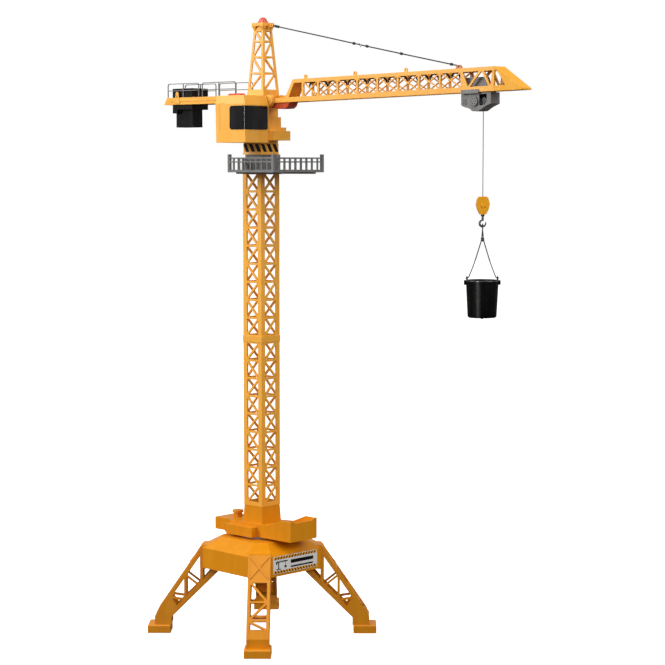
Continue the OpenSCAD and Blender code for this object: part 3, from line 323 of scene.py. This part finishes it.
plastic("yellow_plastic", (0.91, 0.42, 0.045), (0.87, 0.385, 0.032), (0.95, 0.60, 0.18), specular=0.35)
plastic("orange_plastic", (0.72, 0.262, 0.002), (0.66, 0.228, 0.001), (0.84, 0.40, 0.03), specular=0.2)
# Deeper yellow: painted shade on the jib's nose, whose sloping plate faces away from the light; the hook block
# gets the same deeper yellow.
plastic("deep_yellow_and_painted_shade", (0.86, 0.385, 0.010), (0.82, 0.35, 0.007), (0.95, 0.56, 0.10),
        grain_depth=0.008 * MM, specular=0.22)
# A near-black brown that is painted shade, for the shadowed inside of the jib.
plastic("shaded_brown", (0.030, 0.009, 0.002), (0.022, 0.006, 0.0015), (0.10, 0.035, 0.008), specular=0.15)
plastic("orange_lug", (0.42, 0.15, 0.035), (0.34, 0.115, 0.025), (0.66, 0.30, 0.10), specular=0.3)
plastic("red_plastic", (0.66, 0.070, 0.018), (0.57, 0.052, 0.014), (0.85, 0.28, 0.16),
        rough=(0.2, 0.32), specular=0.45)
plastic("gray_plastic", (0.165, 0.160, 0.158), (0.135, 0.132, 0.132), (0.34, 0.34, 0.34),
        rough=(0.36, 0.5), specular=0.35)
plastic("black_plastic", (0.0030, 0.0028, 0.0027), (0.005, 0.0047, 0.0045), (0.04, 0.04, 0.04),
        rough=(0.2, 0.32), wear=0.25, specular=0.13)
plastic("black_window", (0.004, 0.0036, 0.0036), (0.006, 0.0055, 0.0055), (0.05, 0.05, 0.05),
        rough=(0.05, 0.11), grain_depth=0.001 * MM, wear=0.15, specular=0.24)
plastic("bucket_black", (0.0012, 0.0011, 0.0011), (0.002, 0.0019, 0.0018), (0.03, 0.03, 0.03),
        rough=(0.26, 0.36), grain_depth=0.002 * MM, wear=0.06, specular=0.08, edge=0.3 * MM)
# Paler black with paler edges: painted highlight for the bucket's rim.
plastic("rim_painted_highlight_black", (0.016, 0.016, 0.016), (0.024, 0.024, 0.024), (0.16, 0.16, 0.16),
        rough=(0.16, 0.26), grain_depth=0.003 * MM, wear=0.3, specular=0.6, edge=0.3 * MM)
plastic("hook_plastic", (0.022, 0.023, 0.026), (0.015, 0.016, 0.018), (0.20, 0.20, 0.21),
        rough=(0.25, 0.4), specular=0.4)
plastic("sign_print", (0.80, 0.80, 0.79), (0.74, 0.74, 0.73), (0.60, 0.60, 0.58),
        rough=(0.18, 0.28), grain_depth=0.004 * MM, wear=0.3)
plastic("white_gear_plastic", (0.62, 0.62, 0.59), (0.55, 0.55, 0.52), (0.75, 0.75, 0.73))
metal("steel", (0.60, 0.60, 0.62), (0.42, 0.42, 0.44))
metal("motor_can", (0.050, 0.050, 0.053), (0.028, 0.028, 0.030))
fibre("cord", (0.048, 0.048, 0.050), (0.034, 0.034, 0.035))


# ---------- Camera ----------

CAMERA_AT = (2.6727, -2.6727, 0.9170)
CAMERA_PITCH = math.radians(4.93)  # looks down by this much
CAMERA_YAW = math.radians(2.10)    # and this much to the right of the slewing axis

camera_data = bpy.data.cameras.new("camera")
camera_data.sensor_width = 36
camera_data.lens = 105.1
camera_data.clip_end = 100
camera = bpy.data.objects.new("camera", camera_data)
camera.location = CAMERA_AT
sight = Vector((math.sin(CAMERA_YAW) * math.cos(CAMERA_PITCH), math.cos(CAMERA_YAW) * math.cos(CAMERA_PITCH),
                -math.sin(CAMERA_PITCH)))
sight.rotate(Matrix.Rotation(math.atan2(CAMERA_AT[0], -CAMERA_AT[1]), 3, "Z"))
camera.rotation_euler = sight.to_track_quat("-Z", "Y").to_euler()
bpy.context.scene.collection.objects.link(camera)
bpy.context.scene.camera = camera


# ---------- Cords ----------

STAY_D = 2.5 * MM
SLING_D = 2.0 * MM
LINE_D = 1.4 * MM
STRANDS = 3
STRAND_SHARE = 0.464  # a strand's radius over the rope's, for three strands that touch
CORE_SHARE = 0.93     # the core's, which fills the gaps between them
STEP = 0.4            # spacing of a rope's points, in diameters
LAY = 3.6             # length of one turn of a strand, in diameters
KNOT_PROFILE = ((0, -0.5), (0.55, -0.5), (0.9, -0.36), (1, -0.2), (0.8, -0.04), (0.98, 0.14), (0.95, 0.3),
                (0.6, 0.48), (0, 0.5))


def rope(name, path, diameter, body):
    """Twisted cord: round strands that wind about the route, around a core."""
    route = evenly(path, diameter * STEP)
    strand_r = diameter / 2 * STRAND_SHARE
    offset = diameter / 2 - strand_r
    turn = 2 * math.pi * STEP / LAY
    frames = frames_along(route)
    bm = bmesh.new()
    for s in range(STRANDS):
        centre = []
        for i, (p, (side, up)) in enumerate(zip(route, frames)):
            a = turn * i + 2 * math.pi * s / STRANDS
            centre.append(p + (side * math.cos(a) + up * math.sin(a)) * offset)
        add_tube(bm, centre, strand_r, 6)
    add_tube(bm, route, diameter / 2 * CORE_SHARE, 8)
    return piece(name, bm, body, MATERIAL["cord"], 80), route


def cord_piece(name, points, diameter, body, node, steps):
    """Rope along a curve through points, which stands for a CAD node."""
    path = smooth(points, steps)
    obj, route = rope(name, path, diameter, body)
    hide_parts(node)
    return obj


def knots(name, body, path, places, radius, length):
    """Small two-lobed knots at places along a path, in metres from its start."""
    bm = bmesh.new()
    for at in places:
        done = 0.0
        for a, b in zip(path, path[1:]):
            span = (b - a).length
            if done + span >= at:
                along = (b - a).normalized()
                turned = along.to_track_quat("Z", "Y").to_matrix().to_4x4()
                place = Matrix.Translation(a + along * (at - done)) @ turned
                add_lathe(bm, [(r * radius, z * length) for r, z in KNOT_PROFILE], 12, place)
                break
            done += span
    piece(name, bm, body, MATERIAL["cord"], 60)


def on_load(x, y, z):
    """Point in the hanging load's frame, in millimetres."""
    return Vector((LOAD_AXIS[0] + (x * math.cos(LOAD_TURN) - y * math.sin(LOAD_TURN)) * MM,
                   LOAD_AXIS[1] + (x * math.sin(LOAD_TURN) + y * math.cos(LOAD_TURN)) * MM, z * MM))


# The routes, as in the CAD source
stay_points = [Vector(p) * MM for p in ((31.5, 0, 1183.4), (150, 0, 1159.5), (260, 0, 1137), (380, 0, 1113),
                                        (494, 0, 1090.5))]
sling_half = [(29.6, 0, 719.3), (26.6, 0, 719.3), (24.4, 0, 720.6), (23, 0, 723), (14.5, 0, 745), (6, 0, 772),
              (1.9, 0.3, 786), (1.1, 1.3, 794), (0.5, 2.4, 802), (0, 3.1, 809), (0, 2.3, 812.8)]
sling_points = [on_load(*p) for p in sling_half] + [on_load(0, 0, 814)]
sling_points += [on_load(-x, -y, z) for x, y, z in reversed(sling_half)]
line_low, line_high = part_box("hoist_line")
line_x = (line_low.x + line_high.x) / 2
line_points = [Vector((line_x, 0, line_high.z)), Vector((line_x, 0, line_low.z))]
throat = [Vector((line_x, 0, 781 * MM)), Vector((line_x, 0, 801 * MM))]  # where the sling's two legs meet

stay_knot_places = (0.010, 0.016, 0.216, 0.249, 0.334, 0.453)
knots("stay_knots", "crane_head", smooth(stay_points, 8), stay_knot_places, 2.7 * MM, 6.5 * MM)
knots("sling_knot", "sling", throat, (0.006,), 3.3 * MM, 7 * MM)
cord_piece("stay_rope", stay_points, STAY_D, "crane_head", "stay_line", 8)
cord_piece("sling_rope", sling_points, SLING_D, "sling", "sling", 6)
line_rope = cord_piece("line_rope", line_points, LINE_D, "trolley", "hoist_line", 4)
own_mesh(line_rope)


# ---------- CAD nodes: finish ----------

slot_of = {s["node"]: s["material_slot"] for s in frame["record"]["subparts"]}
# Materials that replace a node's slot; the jib nose's deeper yellow is painted shade.
OWN_LOOK_AND_PAINTED_SHADE = {"jib_nose": "deep_yellow_and_painted_shade", "hook_block": "deep_yellow_and_painted_shade", "bucket": "bucket_black",
            "hoist_motor": "motor_can"}
for name, obj in NODE.items():
    material = MATERIAL[OWN_LOOK_AND_PAINTED_SHADE.get(name, slot_of[name])]
    obj.data.materials.clear()
    obj.data.materials.append(material)


# ---------- Details ----------

def on_load_axis():
    """Upright frame in millimetres, on the floor under the axis about which the load turns."""
    return Matrix.Translation((LOAD_AXIS[0], LOAD_AXIS[1], 0)) @ Matrix.Scale(MM, 4)


def sign():
    """Label on the base's right side: hazard-striped borders, a pictogram of a crane and two plain bars."""
    low, high = Vector((98, -62, 135)), Vector((98.8, 55, 169))
    thick = high.x - low.x
    yaw = math.radians(-2.55)
    on_face = Matrix.Rotation(yaw, 4, "Z") @ across((0, MM, 0), (0, 0, MM), (MM, 0, 0), (low.x * MM, 0, 0))

    bm = bmesh.new()
    add_prism(bm, rounded(low.y, high.y, low.z, high.z, 1.6), 0, thick, on_face)
    bevel(bm, 0.25 * MM, 25)
    plate = piece("sign_label", bm, "base", MATERIAL["sign_print"], 30)
    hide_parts("sign_plate")

    margin, band = 0.9, 5.3
    bands = ((low.z + margin, low.z + margin + band), (high.z - margin - band, high.z - margin))
    bm = bmesh.new()
    for z0, z1 in bands:
        outline = rounded(low.y + 1.2, high.y - 1.2, z0, z1, 0.6, 2)
        add_prism(bm, outline, thick - 0.1, thick + 0.12, on_face)
    piece("sign_bands", bm, "base", MATERIAL["yellow_plastic"], 30)

    count, width, lean = 15, 3.4, 3.2
    step = (high.y - low.y - 6) / count
    bm = bmesh.new()
    for (z0, z1), half in zip(bands, (-lean / 2, lean / 2)):
        for i in range(count):
            y = low.y + 4.6 + i * step
            stripe = [(y - half, z0 + 0.2), (y + width - half, z0 + 0.2), (y + width + half, z1 - 0.2),
                      (y + half, z1 - 0.2)]
            add_prism(bm, stripe, thick, thick + 0.2, on_face)
    piece("sign_stripes", bm, "base", MATERIAL["black_plastic"], 30)

    bars = ((-54, -42, 143, 144.6, 0.4),        # foot
            (-49.2, -46.8, 144, 159, 0.4),      # tower
            (-55, -24, 157, 159, 0.4),          # jib
            (-55, -51.5, 153.4, 157, 0.4),      # counterweight
            (-30.4, -29.4, 149.5, 157, 0.2),    # hoist line
            (-32.6, -27.2, 145.4, 149.8, 0.8),  # load
            (-16, 44, 151.6, 158.4, 0.8),       # the two plain bars
            (-16, 44, 143.6, 146.6, 0.8))
    stays = ([(-48.6, 160.8), (-47.4, 160.8), (-26, 159), (-28.5, 158.6)],
             [(-48.4, 160.8), (-49.4, 160.8), (-55, 158.6), (-53, 158.6)])
    bm = bmesh.new()
    for outline in [rounded(*bar, 2) for bar in bars] + list(stays):
        add_prism(bm, outline, thick - 0.1, thick + 0.16, on_face)
    piece("sign_pictogram", bm, "base", MATERIAL["black_plastic"], 30)


def window():
    """Convex smoked window that wraps the cab's front corner, with rounded corners."""
    low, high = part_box("cab_window")
    depth, rim, lip = 2.0 * MM, 0.8 * MM, 0.5 * MM
    wrap_r = 6 * MM
    inner_end = (6.5 * MM, 6 * MM)  # radii of the lower and the upper corner
    outer_end = (5 * MM, 4 * MM)
    side_y, front_x = low.y, high.x
    turn = math.pi / 2 * wrap_r
    side_run = front_x - wrap_r - low.x
    front_run = high.y - (side_y + wrap_r)
    total = side_run + turn + front_run

    def plan(u, inward):
        """Point on the wrap at a distance u along it, set back by inward."""
        if u < side_run:
            at, out = Vector((low.x + u, side_y)), Vector((0, -1))
        elif u < side_run + turn:
            a = (u - side_run) / wrap_r
            out = Vector((math.sin(a), -math.cos(a)))
            at = Vector((front_x - wrap_r, side_y + wrap_r)) + out * wrap_r
        else:
            at, out = Vector((front_x, side_y + wrap_r + u - side_run - turn)), Vector((1, 0))
        return at - out * inward

    def heights(u):
        """Lowest and highest point of the outline at u."""
        z0, z1 = low.z, high.z
        for start, (lower, upper) in ((u, inner_end), (total - u, outer_end)):
            if start < lower:
                z0 = max(z0, low.z + lower - math.sqrt(max(lower ** 2 - (lower - start) ** 2, 0)))
            if start < upper:
                z1 = min(z1, high.z - upper + math.sqrt(max(upper ** 2 - (upper - start) ** 2, 0)))
        return z0, z1

    stops = {total * (0.5 - 0.5 * math.cos(math.pi * k / 60)) for k in range(61)}
    stops |= {side_run + turn * k / 8 for k in range(9)}
    bm = bmesh.new()
    columns = []
    for u in sorted(stops):
        z0, z1 = heights(u)
        dip = lip if min(u, total - u) < rim else 0.0
        rows = []
        for z, inward in ((z0, depth), (z0, lip), (z0 + rim * 0.6, 0), (z1 - rim * 0.6, 0), (z1, lip),
                          (z1, depth)):
            at = plan(u, max(inward, dip))
            rows.append(bm.verts.new((at.x, at.y, z)))
        columns.append(rows)
    for a, b in zip(columns, columns[1:]):
        for k in range(len(a)):
            m = (k + 1) % len(a)
            bm.faces.new((a[k], b[k], b[m], a[m]))
    bm.faces.new(columns[0])
    bm.faces.new(columns[-1][::-1])
    glass = piece("window_glass", bm, "crane_head", MATERIAL["black_window"], 25)
    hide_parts("cab_window")


def crane_hook():
    """Hook whose wire is thickest low on its back and tapers to a point, under a stem with two collars."""
    centre_z, bend_r = 815.3, 5.4
    first, last, steps = 90, 388, 40
    angles = [math.radians(first + (last - first) * k / steps) for k in range(steps + 1)]
    path = [on_load(bend_r * math.cos(a), 0, centre_z + bend_r * math.sin(a)) for a in angles]

    def wire(t):
        """Wire's radius at a share t of the way from the stem to the tip."""
        if t > 0.93:
            return MM * (0.25 + 0.85 * (1 - t) / 0.07)
        belly = math.sin(math.pi * min(t / 0.86, 1.0)) ** 1.5
        return MM * (1.4 + 0.6 * belly - 0.35 * max(t - 0.6, 0) / 0.4)

    bm = bmesh.new()
    add_tube(bm, path, wire, 14)
    foot = centre_z + bend_r - 1.2
    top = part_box("hook")[1].z / MM
    stem_r, collar_r, head_r = 2.0, 3.4, 2.9
    profile = [(0, foot), (1.6, foot), (stem_r, foot + 1.6), (stem_r, 827.7), (3.1, 827.7), (collar_r, 828.1),
               (collar_r, 830.2), (3.1, 830.6), (stem_r, 830.7), (stem_r, top - 2.2), (head_r, top - 2.2),
               (head_r, top), (0, top)]
    add_lathe(bm, profile, 28, on_load_axis())
    obj = piece("crane_hook", bm, "hook", MATERIAL["hook_plastic"], 35)
    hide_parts("hook")


def trolley_ribs():
    """Three plain raised ribs on the trolley's near side, beside the drum's plate."""
    near_side = -12.5 * MM
    place = across(JIB_FORWARD, JIB_UPWARD, (0, -MM, 0), (0, near_side, JIB_FOOT))
    bm = bmesh.new()
    for x0 in (512.5, 515.7, 518.9):
        add_prism(bm, rounded(x0, x0 + 1.5, -21.5, -11.5, 0.5, 3), -0.2, 0.7, place)
    piece("trolley_ribs", bm, "trolley", MATERIAL["gray_plastic"], 30)


def pin_caps():
    """Round covers over the ends of the jib's root pin."""
    pin_x, pin_z, bracket_side = 39.91, 1039.98, 17.6
    profile = [(0, -0.2), (10.6, -0.2), (11, 0.4), (11, 1.9), (10.2, 2.8), (4, 3.1), (3.4, 3.9), (0, 4.0)]
    bm = bmesh.new()
    for s in (-1, 1):
        end_of_pin = Vector((pin_x, s * bracket_side, pin_z)) * MM
        add_lathe(bm, profile, 36, across((MM, 0, 0), (0, 0, MM), (0, s * MM, 0), end_of_pin))
    piece("pin_caps", bm, "crane_head", MATERIAL["yellow_plastic"], 35)


def painted_shade_arches():
    """Dark brown arches across the jib, two to a bay, under its top plate between the side walls: painted shade
    where the inside of the jib lies in shadow.
    """
    first, pitch, count, thickness = 141.5, 24.65, 15, 2.2
    half, foot, rise, depth = 12.2, 28.5, 9.0, 2.6
    turns = [math.pi * k / 12 for k in range(13)]
    arch = [(half * math.cos(a), foot + rise * math.sin(a)) for a in turns]
    outline = arch + [(y * 0.86, z - depth) for y, z in reversed(arch)]
    place = across((0, MM, 0), JIB_UPWARD, JIB_FORWARD, (0, 0, JIB_FOOT))
    bm = bmesh.new()
    for i in range(count):
        middle = first + i * pitch
        add_prism(bm, outline, middle - thickness / 2, middle + thickness / 2, place)
    piece("painted_shade_arches", bm, "crane_head", MATERIAL["shaded_brown"], 30)


def bucket_bead():
    """Round bead along the bucket's rim, paler than the bucket: painted highlight along the rim."""
    bead_r, centre_r, centre_z = 1.25, 28.3, 714.7
    turns, sides = 72, 12
    place = on_load_axis()
    bm = bmesh.new()
    rings = []
    for i in range(turns):
        a = 2 * math.pi * i / turns
        ring = []
        for k in range(sides):
            b = 2 * math.pi * k / sides
            r = centre_r + bead_r * math.cos(b)
            ring.append(bm.verts.new(place @ Vector((r * math.cos(a), r * math.sin(a),
                                                     centre_z + bead_r * math.sin(b)))))
        rings.append(ring)
    for i in range(turns):
        a, b = rings[i], rings[(i + 1) % turns]
        for k in range(sides):
            m = (k + 1) % sides
            bm.faces.new((a[k], b[k], b[m], a[m]))
    piece("bucket_bead", bm, "bucket", MATERIAL["rim_painted_highlight_black"], 60)


sign()
window()
bucket_bead()
crane_hook()
trolley_ribs()
pin_caps()
painted_shade_arches()


# ---------- Stage ----------

def area_light(name, location, target, size, power):
    """Square white light that faces a target. Metres and watts."""
    data = bpy.data.lights.new(name, "AREA")
    data.shape = "SQUARE"
    data.size = size
    data.energy = power
    obj = bpy.data.objects.new(name, data)
    bpy.context.scene.collection.objects.link(obj)
    obj.location = location
    obj.rotation_euler = (Vector(target) - Vector(location)).to_track_quat("-Z", "Y").to_euler()
    return obj


def by_ray(nodes, links, seen, lit, output):
    """Shows one shader to the camera and lights the scene with another."""
    path = nodes.new("ShaderNodeLightPath")
    both = nodes.new("ShaderNodeMixShader")
    links.new(path.outputs["Is Camera Ray"], both.inputs["Fac"])
    links.new(lit, both.inputs[1])
    links.new(seen, both.inputs[2])
    links.new(both.outputs["Shader"], output)


def white_floor():
    """Floor that the camera sees as white and that lights the crane's underside only dimly."""
    bm = bmesh.new()
    bmesh.ops.create_grid(bm, x_segments=1, y_segments=1, size=12)
    mesh = bpy.data.meshes.new("floor")
    bm.to_mesh(mesh)
    bm.free()
    floor = bpy.data.objects.new("floor", mesh)
    floor.location = (0, 0, -0.0005)
    bpy.context.scene.collection.objects.link(floor)
    nodes, links, shader = new_material("floor")
    shader.inputs["Base Color"].default_value = (0.9, 0.9, 0.9, 1)
    shader.inputs["Roughness"].default_value = 0.9
    shader.inputs["Specular IOR Level"].default_value = 0.0
    shader.inputs["Emission Color"].default_value = (1, 1, 1, 1)
    shader.inputs["Emission Strength"].default_value = 0.8
    dim = nodes.new("ShaderNodeBsdfDiffuse")
    dim.inputs["Color"].default_value = (0.14, 0.13, 0.12, 1)
    by_ray(nodes, links, shader.outputs["BSDF"], dim.outputs["BSDF"],
           nodes["Material Output"].inputs["Surface"])
    mesh.materials.append(MATERIAL["floor"])


def white_world():
    """World that the camera sees as white and that lights the scene at about half of that."""
    world = bpy.data.worlds.new("studio")
    bpy.context.scene.world = world
    world.use_nodes = True
    nodes, links = world.node_tree.nodes, world.node_tree.links
    seen = nodes["Background"]
    seen.inputs["Color"].default_value = (1, 1, 1, 1)
    lit = nodes.new("ShaderNodeBackground")
    lit.inputs["Color"].default_value = (1, 1, 1, 1)
    lit.inputs["Strength"].default_value = 0.46
    by_ray(nodes, links, seen.outputs["Background"], lit.outputs["Background"],
           nodes["World Output"].inputs["Surface"])


white_floor()
white_world()
area_light("key", (-1.7, -2.8, 2.2), (0.1, 0, 0.75), 1.6, 92)
area_light("top", (0.6, -1.2, 3.2), (0.1, 0, 0.6), 1.6, 36)
area_light("front", (2.9, 0.4, 1.9), (0.1, 0, 0.7), 1.4, 36)
strip = area_light("strip", (0.9, -3.3, 1.15), (0, 0, 1.0), 0.42, 150)  # seen only in gloss
strip.data.shape = "RECTANGLE"
strip.data.size_y = 1.9
strip.visible_diffuse = False
bpy.context.scene.view_settings.view_transform = "Standard"
